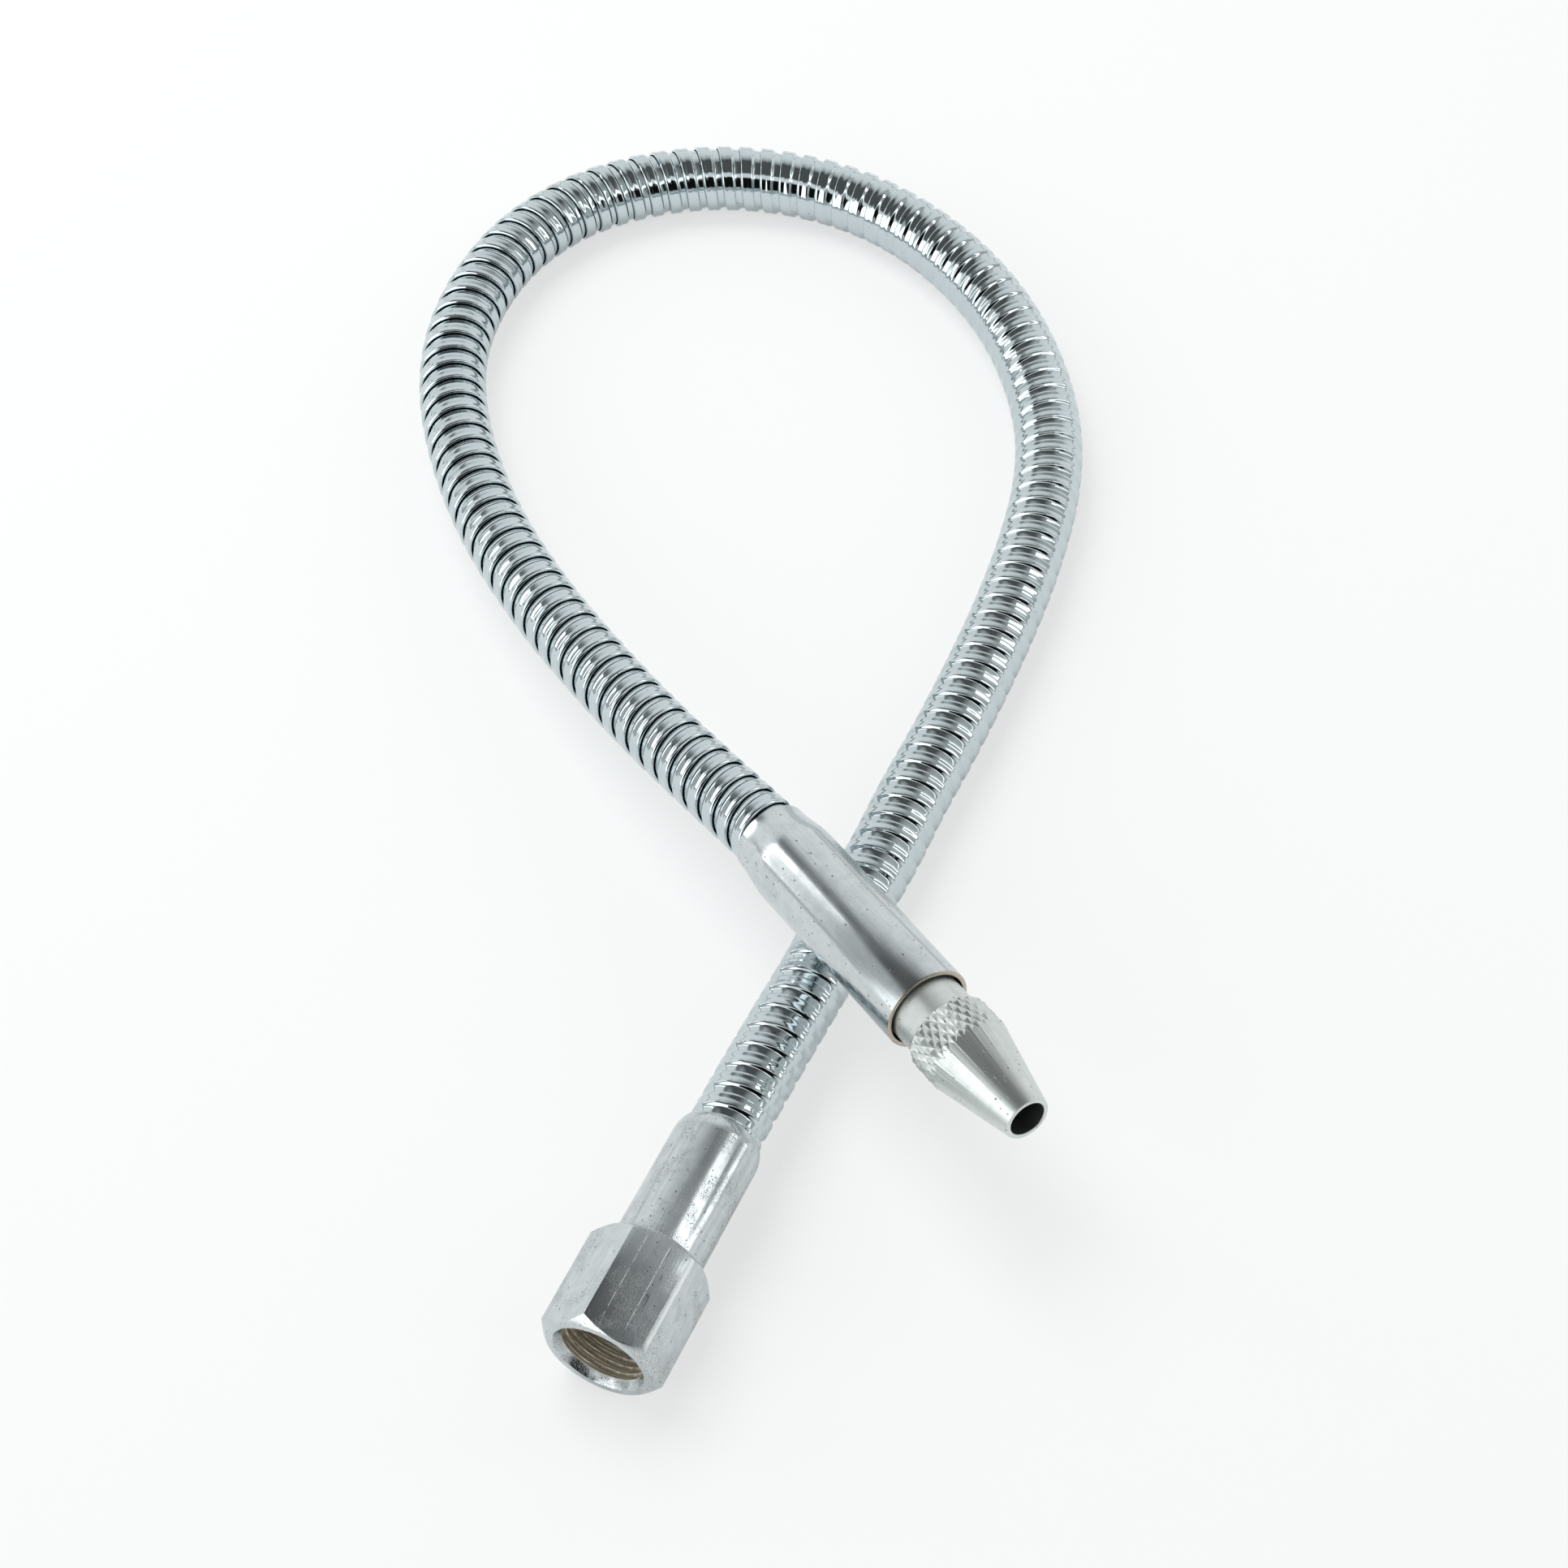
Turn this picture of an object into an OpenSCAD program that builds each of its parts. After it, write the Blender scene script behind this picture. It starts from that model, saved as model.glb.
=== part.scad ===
// Flexible spray hose with a hexagonal inlet socket and a knurled jet nozzle.
// A strip-wound metal armour carries a liner between two crimped sleeves.
// The origin is the centre of the inlet's open face. +Y runs along the inlet
// into the hose and +Z is up. The hose lies in one loop on a level surface,
// and its outlet end crosses over the inlet end.

/* [Inlet fitting] */
// Width across the flats of the hexagon
hex_af = 20; // [19.5:0.5:24]
// Length of the hexagon
hex_len = 21; // [20:1:40]
// Turn of the hexagon from a level top face
hex_roll = 16; // [0:1:30]
// Width of the round face left by the corner chamfers
hex_face_d = 19.5; // [18.6:0.1:19.8]
// Slope of the corner chamfers
hex_chamfer_angle = 40; // [15:1:45]
// Wall of the hose sleeve where it meets the hexagon
inlet_wall = 1.2; // [0.8:0.05:2]
// Wall of the hose sleeve where its crimp starts
inlet_wall_end = 1.15; // [0.6:0.05:1.2]
// Length of the hose sleeve beyond the hexagon
inlet_sleeve_len = 26.5; // [18:0.5:40]
// Length of the crimp at the sleeve's end
inlet_crimp_len = 3; // [2:0.5:8]
// Height of the small ring between hexagon and sleeve
collar_h = 0.35; // [0.1:0.05:0.8]

/* [Inlet thread] */
// Bore of the thread, its minor diameter
thread_d = 14.95; // [13:0.05:15.4]
// Length of the threaded wall
thread_len = 11.5; // [6:0.5:14]
// Mouth of the countersink
mouth_d = 16.8; // [16:0.1:17.4]
// Depth of the countersink
mouth_len = 0.5; // [0.4:0.1:1.5]
// Diameter of the undercut behind the thread
undercut_d = 17; // [16:0.1:17.6]
// Length of the undercut
undercut_len = 3; // [2.8:0.1:4]
// Thickness of the sealing washer
washer_t = 1.5; // [1:0.1:1.6]
// Outer diameter of the sealing washer
washer_d = 15.8; // [15:0.1:16.2]
// Hole of the sealing washer
washer_hole_d = 9; // [6:0.5:11]

/* [Hose] */
// Outer diameter of the armour
hose_d = 13.6; // [12:0.1:15]
// Height of the strip that the armour is wound from
armour_wall = 1.6; // [1:0.1:2]
// Wall of the liner
liner_wall = 1.3; // [0.8:0.1:1.6]
// Gap between armour and liner
liner_gap = 0.3; // [0.2:0.05:0.6]
// Gap between armour and sleeves
hose_fit = 0.1; // [0.05:0.05:0.3]
// Wall of the sleeves at their crimped lip
lip_wall = 0.35; // [0.2:0.05:0.8]
// Depth of the hose seat behind the hexagon's end
seat_depth = 1; // [0.5:0.5:4]

/* [Hose tails] */
// Gap between a tail and the liner round it
tail_gap = 0.08; // [0.02:0.01:0.2]
// Wall of the tails at the barbs' tops
tail_wall = 1; // [0.7:0.1:1.4]
// Length of a tail in the liner
tail_len = 18; // [10:1:24]
// Barbs on each tail
barbs = 4; // [2:1:6]
// Height of a barb
barb_h = 0.3; // [0.1:0.05:0.5]
// Thickness of the inlet tail's flange
flange_t = 1.4; // [1:0.1:1.5]
// Gap round the inlet tail's flange and stem
tail_fit = 0.05; // [0.02:0.01:0.1]

/* [Outlet sleeve] */
// Outer diameter of the sleeve
outlet_d = 16.4; // [16:0.1:20]
// Wall of the sleeve
outlet_wall = 0.85; // [0.5:0.05:1]
// Length of the sleeve
outlet_len = 50.5; // [48:0.5:70]
// Length of its crimped neck
outlet_crimp_len = 9; // [6:0.5:16]
// Depth of the hose in the sleeve
outlet_hose_depth = 20; // [16:0.5:26]
// Climb of the outlet above level
outlet_climb = 8.5; // [6:0.5:12]
// Turn of the outlet about the vertical from +X
outlet_turn = -32.5; // [-36:0.5:-28]

/* [Outlet body] */
// Depth of the body's face inside the sleeve's rim
body_depth = 8; // [6:0.5:10]
// Depth of the threaded socket
socket_len = 15.5; // [14:0.5:20]
// Gap between body and sleeve
body_fit = 0.05; // [0.02:0.01:0.1]

/* [Nozzle] */
// Gap between the smooth neck and the sleeve's bore
neck_gap = 0.45; // [0.15:0.05:1.2]
// Length of neck that shows before the knurl
neck_show = 6.2; // [5.5:0.1:9]
// Length of neck inside the sleeve
neck_hidden = 2.5; // [1:0.1:2.8]
// Diameter of the knurled band
knurl_d = 16; // [15.5:0.1:18]
// Length of the knurled band
knurl_len = 7; // [5:0.5:12]
// Depth of the knurl's grooves
knurl_depth = 0.38; // [0.2:0.02:0.5]
// Diamonds round the knurled band
knurls = 28; // [20:1:36]
// Steps from groove crossing to groove crossing along the band
knurl_steps = 5; // [3:1:9]
// Diameter of the cone at the end of the band
cone_d = 15.5; // [14:0.1:16]
// Length of the cone
cone_len = 16.6; // [12:0.2:30]
// Diameter of the tip
tip_d = 8.4; // [7.8:0.1:10]
// Diameter of the jet hole
jet_d = 6.7; // [5:0.1:7]
// Diameter of the threaded stem
stem_d = 10; // [9.4:0.1:11]
// Length of the threaded stem
stem_len = 14; // [12:0.5:15]
// Bore of the stem
stem_bore_d = 5.4; // [4:0.1:5.6]
// Running gap round the stem
thread_gap = 0.05; // [0.02:0.01:0.1]
// Thickness of the seal ring
seal_t = 1.05; // [0.8:0.05:1.3]
// Side gap of the seal ring in its groove
seal_gap = 0.25; // [0.1:0.05:0.4]
// Distance from the stem's end to the groove
groove_at = 2; // [1:0.1:4]

/* [Hidden] */
$fn = 96;
eps = 0.01;
// How far joined outlines run into each other
overlap = 1;

// Inlet, measured along +Y from the open face
thread_end = mouth_len + thread_len;
socket_floor = thread_end + undercut_len;
hose_seat = hex_len - seat_depth;
lip_y = hex_len + inlet_sleeve_len;
hex_corner_d = hex_af / cos(30);
hex_rise = (hex_corner_d - hex_face_d) / 2 * tan(hex_chamfer_angle);

// Hose and tails
sleeve_bore_d = hose_d + 2 * hose_fit;
lip_d = sleeve_bore_d + 2 * lip_wall;
armour_bore_d = hose_d - 2 * armour_wall;
liner_d = armour_bore_d - 2 * liner_gap;
liner_bore_d = liner_d - 2 * liner_wall;
sides = 12;
tail_d = liner_bore_d * cos(180 / sides) - 2 * tail_gap;
tail_bore_d = tail_d - 2 * tail_wall;
barb_pitch = tail_len / (barbs + 1);

// Outlet, measured along its own axis from the sleeve's hose end
outlet_bore_d = outlet_d - 2 * outlet_wall;
body_face = outlet_len - body_depth;
neck_d = outlet_bore_d - 2 * neck_gap;
neck_start = outlet_len - neck_hidden;
knurl_start = outlet_len + neck_show;
cone_start = knurl_start + knurl_len;
tip_at = cone_start + cone_len;
stem_end = neck_start - stem_len;
groove_len = seal_t + 2 * seal_gap;
socket_d = stem_d + 2 * thread_gap;
knurl_root_r = knurl_d / 2 - knurl_depth;
cone_slope = (cone_d - tip_d) / 2 / cone_len;
// The grooves run out where the cone falls below their root
knurl_runout = max(0.1, (cone_d / 2 - knurl_root_r) / cone_slope);
knurl_end = cone_start + knurl_runout;
knurl_sink = 0.04;
seal_mid_d = socket_d - 2 * thread_gap - seal_t;
groove_d = seal_mid_d - seal_t - 2 * thread_gap;

// Free stretch of the hose's centreline, from lip to lip, chosen by hand
free_route = [
    [0, 60, -0.2], [0, 73, -1], [0, 88, -2.3], [-0.5, 103, -3.4],
    [-0.5, 118, -4.1], [-1, 132, -4.4], [-1, 148, -4.4], [-1.5, 164, -4.4],
    [-2.5, 180, -4.4], [-4.5, 197, -4.4], [-8, 214, -4.4], [-14, 229.5, -4.4],
    [-24, 244.5, -4.4], [-37, 257.5, -4.4], [-53, 267.5, -4.4],
    [-70, 273, -4.4], [-87, 273.5, -4.4], [-104, 269, -4.4],
    [-118.5, 260, -4.4], [-129.5, 247.5, -4.4], [-135.5, 232, -4.2],
    [-136.5, 216, -4], [-133.6, 200.4, -3.5], [-126.8, 185.5, -2.7],
    [-115.4, 169.8, -1.4], [-100.4, 154.4, 0.1], [-82.4, 140.3, 2],
    [-64.5, 128.7, 4], [-47.8, 118.9, 6.2], [-32.8, 110.9, 8.3]
];
outlet_at = [-16.2, 102.3, 10.6];
outlet_axis = [
    cos(outlet_climb) * cos(outlet_turn),
    cos(outlet_climb) * sin(outlet_turn),
    sin(outlet_climb)
];
route = concat(
    [[0, hose_seat, 0], [0, (hose_seat + lip_y) / 2, 0], [0, lip_y, 0]],
    free_route,
    [for (f = [0, 0.5, 1]) outlet_at + f * outlet_hose_depth * outlet_axis]
);
route_last = len(route) - 1;
steps_per_point = 2;
// Places on the route where the bend starts and ends
bend_from = 16;
bend_to = 21;

function unit(v) = v / norm(v);

// Point and direction of a smooth curve through the route, at place t
function before(i) = i > 0 ? route[i - 1] : 2 * route[0] - route[1];
function after(i) =
    i < route_last ? route[i + 1] : 2 * route[route_last] - route[route_last - 1];
function tangent(i) = (after(i) - before(i)) / 2;
function curve_point(t) =
    let (i = min(floor(t), route_last - 1), f = t - i)
    (2 * f ^ 3 - 3 * f ^ 2 + 1) * route[i] + (f ^ 3 - 2 * f ^ 2 + f) * tangent(i)
    + (3 * f ^ 2 - 2 * f ^ 3) * route[i + 1] + (f ^ 3 - f ^ 2) * tangent(i + 1);
function curve_direction(t) =
    let (i = min(floor(t), route_last - 1), f = t - i)
    unit((6 * f ^ 2 - 6 * f) * (route[i] - route[i + 1])
        + (3 * f ^ 2 - 4 * f + 1) * tangent(i) + (3 * f ^ 2 - 2 * f) * tangent(i + 1));

function ring(t, d) =
    let (
        along = curve_direction(t),
        across = unit(cross(along, [0, 0, 1])),
        upward = cross(across, along)
    )
    [for (k = [0:sides - 1])
        curve_point(t) + d / 2 * (cos(360 * k / sides) * across + sin(360 * k / sides) * upward)];

// Two triangles for each side of a ring joined to the next ring
function band(first, second) = [
    for (k = [0:sides - 1])
        let (a = first + k, b = first + (k + 1) % sides, c = second + k, d = second + (k + 1) % sides)
        each [[a, b, c], [b, d, c]]
];

// Hollow tube along the route from one place on it to another
module route_tube(from, to, outer_d, inner_d) {
    count = (to - from) * steps_per_point;
    places = [for (i = [0:count]) from + i / steps_per_point];
    inner_first = (count + 1) * sides;
    points = concat(
        [for (t = places) each ring(t, outer_d)],
        [for (t = places) each ring(t, inner_d)]
    );
    faces = concat(
        [for (i = [0:count - 1]) each band(i * sides, (i + 1) * sides)],
        [for (i = [0:count - 1]) each band(inner_first + (i + 1) * sides, inner_first + i * sides)],
        band(inner_first, 0),
        band(count * sides, inner_first + count * sides)
    );
    polyhedron(points, faces);
}

module along_inlet(y = 0) {
    rotate([-90, 0, 0]) translate([0, 0, y]) children();
}

module along_outlet(u = 0) {
    translate(outlet_at) rotate([0, 90 - outlet_climb, outlet_turn]) translate([0, 0, u])
        children();
}

// Radius that falls smoothly from one value to another over a share f of a length
function eased(from_r, to_r, f) = from_r + (to_r - from_r) * (1 - cos(180 * f)) / 2;

module hexagon() {
    intersection() {
        rotate([0, 0, hex_roll]) cylinder(d = hex_corner_d, h = hex_len, $fn = 6);
        rotate_extrude() polygon([
            [0, 0], [hex_face_d / 2, 0], [hex_corner_d / 2 + eps, hex_rise],
            [hex_corner_d / 2 + eps, hex_len - hex_rise], [hex_face_d / 2, hex_len], [0, hex_len]
        ]);
    }
}

module inlet_fitting() {
    root_r = sleeve_bore_d / 2 + inlet_wall;
    crimp_r = sleeve_bore_d / 2 + inlet_wall_end;
    crimp_y = lip_y - inlet_crimp_len;
    color("silver") along_inlet() difference() {
        union() {
            hexagon();
            rotate_extrude() polygon(concat(
                [[0, hex_len - overlap], [root_r + collar_h, hex_len - overlap],
                    [root_r + collar_h, hex_len + collar_h], [root_r, hex_len + 2 * collar_h]],
                [for (i = [0:8]) [crimp_r - (crimp_r - lip_d / 2) * (i / 8) ^ 2, crimp_y + inlet_crimp_len * i / 8]],
                [[0, lip_y]]
            ));
        }
        rotate_extrude() polygon([
            [0, -eps], [mouth_d / 2, -eps], [mouth_d / 2, 0], [thread_d / 2, mouth_len],
            [thread_d / 2, thread_end], [undercut_d / 2, thread_end], [undercut_d / 2, socket_floor],
            [tail_d / 2 + tail_fit, socket_floor], [tail_d / 2 + tail_fit, hose_seat],
            [sleeve_bore_d / 2, hose_seat], [sleeve_bore_d / 2, lip_y + eps], [0, lip_y + eps]
        ]);
    }
}

module inlet_washer() {
    color("dimgray") along_inlet(socket_floor - flange_t - washer_t) difference() {
        cylinder(d = washer_d, h = washer_t);
        translate([0, 0, -eps]) cylinder(d = washer_hole_d, h = washer_t + 2 * eps);
    }
}

// Outline of a barbed tail whose barbs face back towards its base at 0
function barb_outline(length) = [
    for (i = [0:barbs - 1])
        let (top = length - i * barb_pitch - barb_pitch)
        each [[tail_d / 2 - barb_h, top + barb_pitch * 0.8], [tail_d / 2, top]]
];

module inlet_tail() {
    flange_d = thread_d - 4 * tail_fit;
    length = hose_seat - socket_floor + tail_len;
    color("goldenrod") along_inlet(socket_floor) difference() {
        rotate_extrude() polygon(concat(
            [[0, length], [tail_d / 2 - barb_h, length]],
            barb_outline(length),
            [[tail_d / 2, 0], [flange_d / 2, 0], [flange_d / 2, -flange_t], [0, -flange_t]]
        ));
        translate([0, 0, -flange_t - eps]) cylinder(d = tail_bore_d, h = length + flange_t + 2 * eps);
    }
}

module armour_inlet_run() {
    color("lightsteelblue") route_tube(0, bend_from, hose_d, armour_bore_d);
}

module armour_bend() {
    color("lightsteelblue") route_tube(bend_from, bend_to, hose_d, armour_bore_d);
}

module armour_outlet_run() {
    color("lightsteelblue") route_tube(bend_to, route_last, hose_d, armour_bore_d);
}

module liner_inlet_run() {
    color("darkslategray") route_tube(0, bend_from, liner_d, liner_bore_d);
}

module liner_bend() {
    color("darkslategray") route_tube(bend_from, bend_to, liner_d, liner_bore_d);
}

module liner_outlet_run() {
    color("darkslategray") route_tube(bend_to, route_last, liner_d, liner_bore_d);
}

module outlet_sleeve() {
    crimp = [for (i = [0:10]) [eased(lip_d / 2, outlet_d / 2, i / 10), outlet_crimp_len * i / 10]];
    inner_shift = outlet_d / 2 - outlet_wall - sleeve_bore_d / 2;
    inner = [
        for (i = [10:-1:0])
            [sleeve_bore_d / 2 + inner_shift * (1 - cos(180 * i / 10)) / 2, outlet_crimp_len * i / 10]
    ];
    color("gainsboro") along_outlet() rotate_extrude() polygon(concat(
        crimp,
        [[outlet_d / 2, outlet_len], [outlet_bore_d / 2, outlet_len]],
        inner
    ));
}

module outlet_body() {
    body_d = outlet_bore_d - 2 * body_fit;
    color("goldenrod") along_outlet() difference() {
        union() {
            translate([0, 0, outlet_hose_depth]) cylinder(d = body_d, h = body_face - outlet_hose_depth);
            translate([0, 0, outlet_hose_depth]) mirror([0, 0, 1]) rotate_extrude() polygon(concat(
                [[0, tail_len], [tail_d / 2 - barb_h, tail_len]],
                barb_outline(tail_len),
                [[tail_d / 2, 0], [tail_d / 2, -overlap], [0, -overlap]]
            ));
        }
        translate([0, 0, outlet_hose_depth - tail_len - eps]) cylinder(d = tail_bore_d, h = body_face);
        translate([0, 0, body_face - socket_len]) cylinder(d = socket_d, h = socket_len + eps);
    }
}

module nozzle_seal() {
    color("black") along_outlet(stem_end + groove_at + groove_len / 2)
        rotate_extrude() translate([seal_mid_d / 2, 0]) circle(d = seal_t);
}

// Drum whose wall rises to a peak between groove crossings, all round and along it
module knurled_drum(length, peak_r, root_r, diamonds, steps) {
    columns = 2 * diamonds;
    points = [
        for (j = [0:steps], i = [0:columns - 1])
            let (peak = (i + j) % 2 == 1 && j > 0 && j < steps, r = peak ? peak_r : root_r)
            [r * cos(360 * i / columns), r * sin(360 * i / columns), length * j / steps]
    ];
    wall = [
        for (j = [0:steps - 1], i = [0:columns - 1])
            let (
                a = j * columns + i, b = j * columns + (i + 1) % columns,
                c = a + columns, d = b + columns
            )
            each (i + j) % 2 == 0 ? [[a, d, b], [a, c, d]] : [[a, c, b], [b, c, d]]
    ];
    polyhedron(points, concat(
        wall,
        [[for (i = [0:columns - 1]) i]],
        [[for (i = [columns - 1:-1:0]) steps * columns + i]]
    ));
}

module nozzle() {
    groove_start = stem_end + groove_at;
    cone_r = cone_d / 2 - cone_slope * knurl_runout;
    color("lightgray") along_outlet() difference() {
        union() {
            rotate_extrude() polygon([
                [0, stem_end], [stem_d / 2, stem_end], [stem_d / 2, groove_start],
                [groove_d / 2, groove_start], [groove_d / 2, groove_start + groove_len],
                [stem_d / 2, groove_start + groove_len], [stem_d / 2, neck_start],
                [neck_d / 2, neck_start], [neck_d / 2, knurl_end - overlap], [cone_r, knurl_end],
                [tip_d / 2, tip_at], [0, tip_at]
            ]);
            translate([0, 0, knurl_start]) knurled_drum(
                knurl_end - knurl_start, knurl_d / 2, knurl_root_r - knurl_sink, knurls, knurl_steps
            );
        }
        translate([0, 0, stem_end - eps]) cylinder(d = stem_bore_d, h = stem_len + 2 * eps);
        translate([0, 0, neck_start]) cylinder(d = jet_d, h = tip_at - neck_start + eps);
    }
}

inlet_fitting();
inlet_washer();
inlet_tail();
armour_inlet_run();
armour_bend();
armour_outlet_run();
liner_inlet_run();
liner_bend();
liner_outlet_run();
outlet_sleeve();
outlet_body();
nozzle_seal();
nozzle();
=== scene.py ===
from math import cos, exp, pi, radians, sin, tau

import bpy
from mathutils import Matrix, Quaternion, Vector
from mathutils.geometry import interpolate_bezier


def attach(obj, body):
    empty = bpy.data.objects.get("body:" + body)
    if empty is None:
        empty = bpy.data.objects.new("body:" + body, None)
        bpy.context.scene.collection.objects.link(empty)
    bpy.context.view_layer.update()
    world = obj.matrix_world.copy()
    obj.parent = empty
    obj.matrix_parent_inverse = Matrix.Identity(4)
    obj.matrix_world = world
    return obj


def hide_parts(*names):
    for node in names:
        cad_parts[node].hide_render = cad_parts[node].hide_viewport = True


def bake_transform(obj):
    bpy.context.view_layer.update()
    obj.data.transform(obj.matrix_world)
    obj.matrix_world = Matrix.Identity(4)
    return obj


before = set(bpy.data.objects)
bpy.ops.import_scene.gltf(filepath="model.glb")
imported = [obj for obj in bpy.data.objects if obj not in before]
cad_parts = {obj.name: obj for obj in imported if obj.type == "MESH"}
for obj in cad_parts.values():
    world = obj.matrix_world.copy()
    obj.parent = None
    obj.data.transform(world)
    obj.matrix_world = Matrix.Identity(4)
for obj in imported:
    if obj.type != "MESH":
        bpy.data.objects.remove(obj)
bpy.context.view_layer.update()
MM = 0.001

# --- Camera -----------------------------------------------------------------
# A tripod camera looks down at the loop from the inlet's end, a little from
# the right, through a long lens.
camera_data = bpy.data.cameras.new("tripod_camera")
camera_data.lens = 82
camera_data.sensor_width = 36
camera_data.clip_start, camera_data.clip_end = 0.05, 20
camera = bpy.data.objects.new("tripod_camera", camera_data)
camera.location = (0.14778, -0.24445, 0.52645)
camera.rotation_euler = (radians(37.5), 0, radians(24.97))
bpy.context.collection.objects.link(camera)
bpy.context.scene.camera = camera

# --- Route of the hose ------------------------------------------------------
# The hose lies in one loop. It starts in the inlet fitting, rises onto its own
# inlet end and is crimped in the outlet sleeve. Points in millimetres.
OUTLET_AT = Vector((-16.2, 102.3, 10.6))
OUTLET_CLIMB, OUTLET_TURN = radians(8.5), radians(-32.5)
outlet_axis = Vector((
    cos(OUTLET_CLIMB) * cos(OUTLET_TURN), cos(OUTLET_CLIMB) * sin(OUTLET_TURN), sin(OUTLET_CLIMB)))
route = [Vector(point) for point in (
    (0, 20, 0), (0, 33.75, 0), (0, 47.5, 0), (0, 60, -0.2), (0, 73, -1), (0, 88, -2.3), (-0.5, 103, -3.4),
    (-0.5, 118, -4.1), (-1, 132, -4.4), (-1, 148, -4.4), (-1.5, 164, -4.4), (-2.5, 180, -4.4),
    (-4.5, 197, -4.4), (-8, 214, -4.4), (-14, 229.5, -4.4), (-24, 244.5, -4.4), (-37, 257.5, -4.4),
    (-53, 267.5, -4.4), (-70, 273, -4.4), (-87, 273.5, -4.4), (-104, 269, -4.4), (-118.5, 260, -4.4),
    (-129.5, 247.5, -4.4), (-135.5, 232, -4.2), (-136.5, 216, -4), (-133.6, 200.4, -3.5),
    (-126.8, 185.5, -2.7), (-115.4, 169.8, -1.4), (-100.4, 154.4, 0.1), (-82.4, 140.3, 2),
    (-64.5, 128.7, 4), (-47.8, 118.9, 6.2), (-32.8, 110.9, 8.3))]
route += [OUTLET_AT + depth * outlet_axis for depth in (0, 10, 20)]
ends = [2 * route[0] - route[1]] + route + [2 * route[-1] - route[-2]]
pulls = [(after - before) / 6 for before, after in zip(ends, ends[2:])]

route_data = bpy.data.curves.new("hose_route", "CURVE")
route_data.dimensions = "3D"
route_data.resolution_u = 32
spline = route_data.splines.new("BEZIER")
spline.bezier_points.add(len(route) - 1)  # a new spline has one point already
for knot, point, pull in zip(spline.bezier_points, route, pulls):
    knot.handle_left_type = knot.handle_right_type = "FREE"
    knot.co = point * MM
    knot.handle_left, knot.handle_right = (point - pull) * MM, (point + pull) * MM
hose_route = bpy.data.objects.new("hose_route", route_data)
bpy.context.collection.objects.link(hose_route)

centreline = [route[0] * MM]
for start, end, pull_out, pull_in in zip(route, route[1:], pulls, pulls[1:]):
    steps = interpolate_bezier(start * MM, (start + pull_out) * MM, (end - pull_in) * MM, end * MM, 9)
    centreline += steps[1:]
distance = [0.0]
for here, there in zip(centreline, centreline[1:]):
    distance.append(distance[-1] + (there - here).length)


# --- Armour -----------------------------------------------------------------
# One chromed steel strip, rolled to a step and wound right-handed. The high
# part of each turn overhangs the low part of the next with a narrow gap.
PITCH = 4.4
LEAD, LEAD_TURNS = 5.0, 12
SLACK, SLACK_TURN, SLACK_SPREAD = 7.5, 104, 7
STRIP_FACETS = 46
# The strip's cross-section: distance along the hose and radius, first over
# its outside and then back along its inside.
STRIP = [
    (-0.72, 5.99), (-0.51, 6.03), (-0.20, 6.07), (0.10, 6.11), (0.51, 6.17), (0.92, 6.24), (1.08, 6.28),
    (1.17, 6.315), (1.25, 6.36), (1.37, 6.465), (1.51, 6.605), (1.64, 6.715), (1.71, 6.757), (1.80, 6.777),
    (2.00, 6.785), (2.35, 6.785), (2.56, 6.776), (2.72, 6.76), (2.87, 6.75), (3.01, 6.755), (3.17, 6.775),
    (3.43, 6.81), (3.58, 6.825), (3.70, 6.83), (3.83, 6.82), (3.94, 6.785), (4.04, 6.72), (4.13, 6.61),
    (4.21, 6.48), (4.23, 6.38), (4.20, 6.3), (4.09, 6.27), (3.89, 6.33), (2.25, 6.38), (1.94, 6.33),
    (1.48, 6.06), (1.13, 5.98), (0.00, 5.86), (-0.72, 5.78),
]


def alone(piece):
    """Selects one piece and nothing else."""
    bpy.ops.object.select_all(action="DESELECT")
    piece.select_set(True)
    bpy.context.view_layer.objects.active = piece


def draw_outline(name, corners):
    """Draws a closed outline corner by corner, in millimetres."""
    corners = [Vector(corner) * MM for corner in corners]
    bpy.ops.object.select_all(action="DESELECT")
    bpy.ops.mesh.primitive_plane_add(size=MM)
    piece = bpy.context.object
    piece.name = piece.data.name = name
    bpy.ops.object.mode_set(mode="EDIT")
    bpy.ops.mesh.select_mode(type="VERT")
    bpy.ops.mesh.merge(type="CENTER")
    bpy.ops.transform.translate(value=corners[0])
    for here, there in zip(corners, corners[1:]):
        bpy.ops.mesh.extrude_vertices_move(TRANSFORM_OT_translate={"value": there - here})
    bpy.ops.object.mode_set(mode="OBJECT")
    piece.data.vertices[0].select = True
    bpy.ops.object.mode_set(mode="EDIT")
    bpy.ops.mesh.edge_face_add()
    bpy.ops.object.mode_set(mode="OBJECT")
    return piece


def finish_with(piece, kind, **settings):
    """Adds a modifier, sets it and applies it."""
    alone(piece)
    modifier = piece.modifiers.new(kind.lower(), kind)
    for setting, value in settings.items():
        setattr(modifier, setting, value)
    bpy.ops.object.modifier_apply(modifier=modifier.name)


def face_out(piece, open_ends=False):
    """Merges doubled points, closes the open ends of a winding and turns all faces outwards."""
    alone(piece)
    bpy.ops.object.mode_set(mode="EDIT")
    bpy.ops.mesh.select_all(action="SELECT")
    bpy.ops.mesh.remove_doubles(threshold=2e-6)
    if open_ends:
        bpy.ops.mesh.select_all(action="DESELECT")
        bpy.ops.mesh.select_non_manifold()
        bpy.ops.mesh.edge_face_add()
        bpy.ops.mesh.select_all(action="SELECT")
    bpy.ops.mesh.normals_make_consistent(inside=False)
    bpy.ops.object.mode_set(mode="OBJECT")


def wound_reach(turn):
    """How far along the hose a turn lies. Turns are pulled apart near the inlet and before the outlet."""
    pulled = LEAD * (1 - exp(-turn / LEAD_TURNS)) + SLACK / (1 + exp((SLACK_TURN - turn) / SLACK_SPREAD))
    return PITCH * turn + pulled


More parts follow.
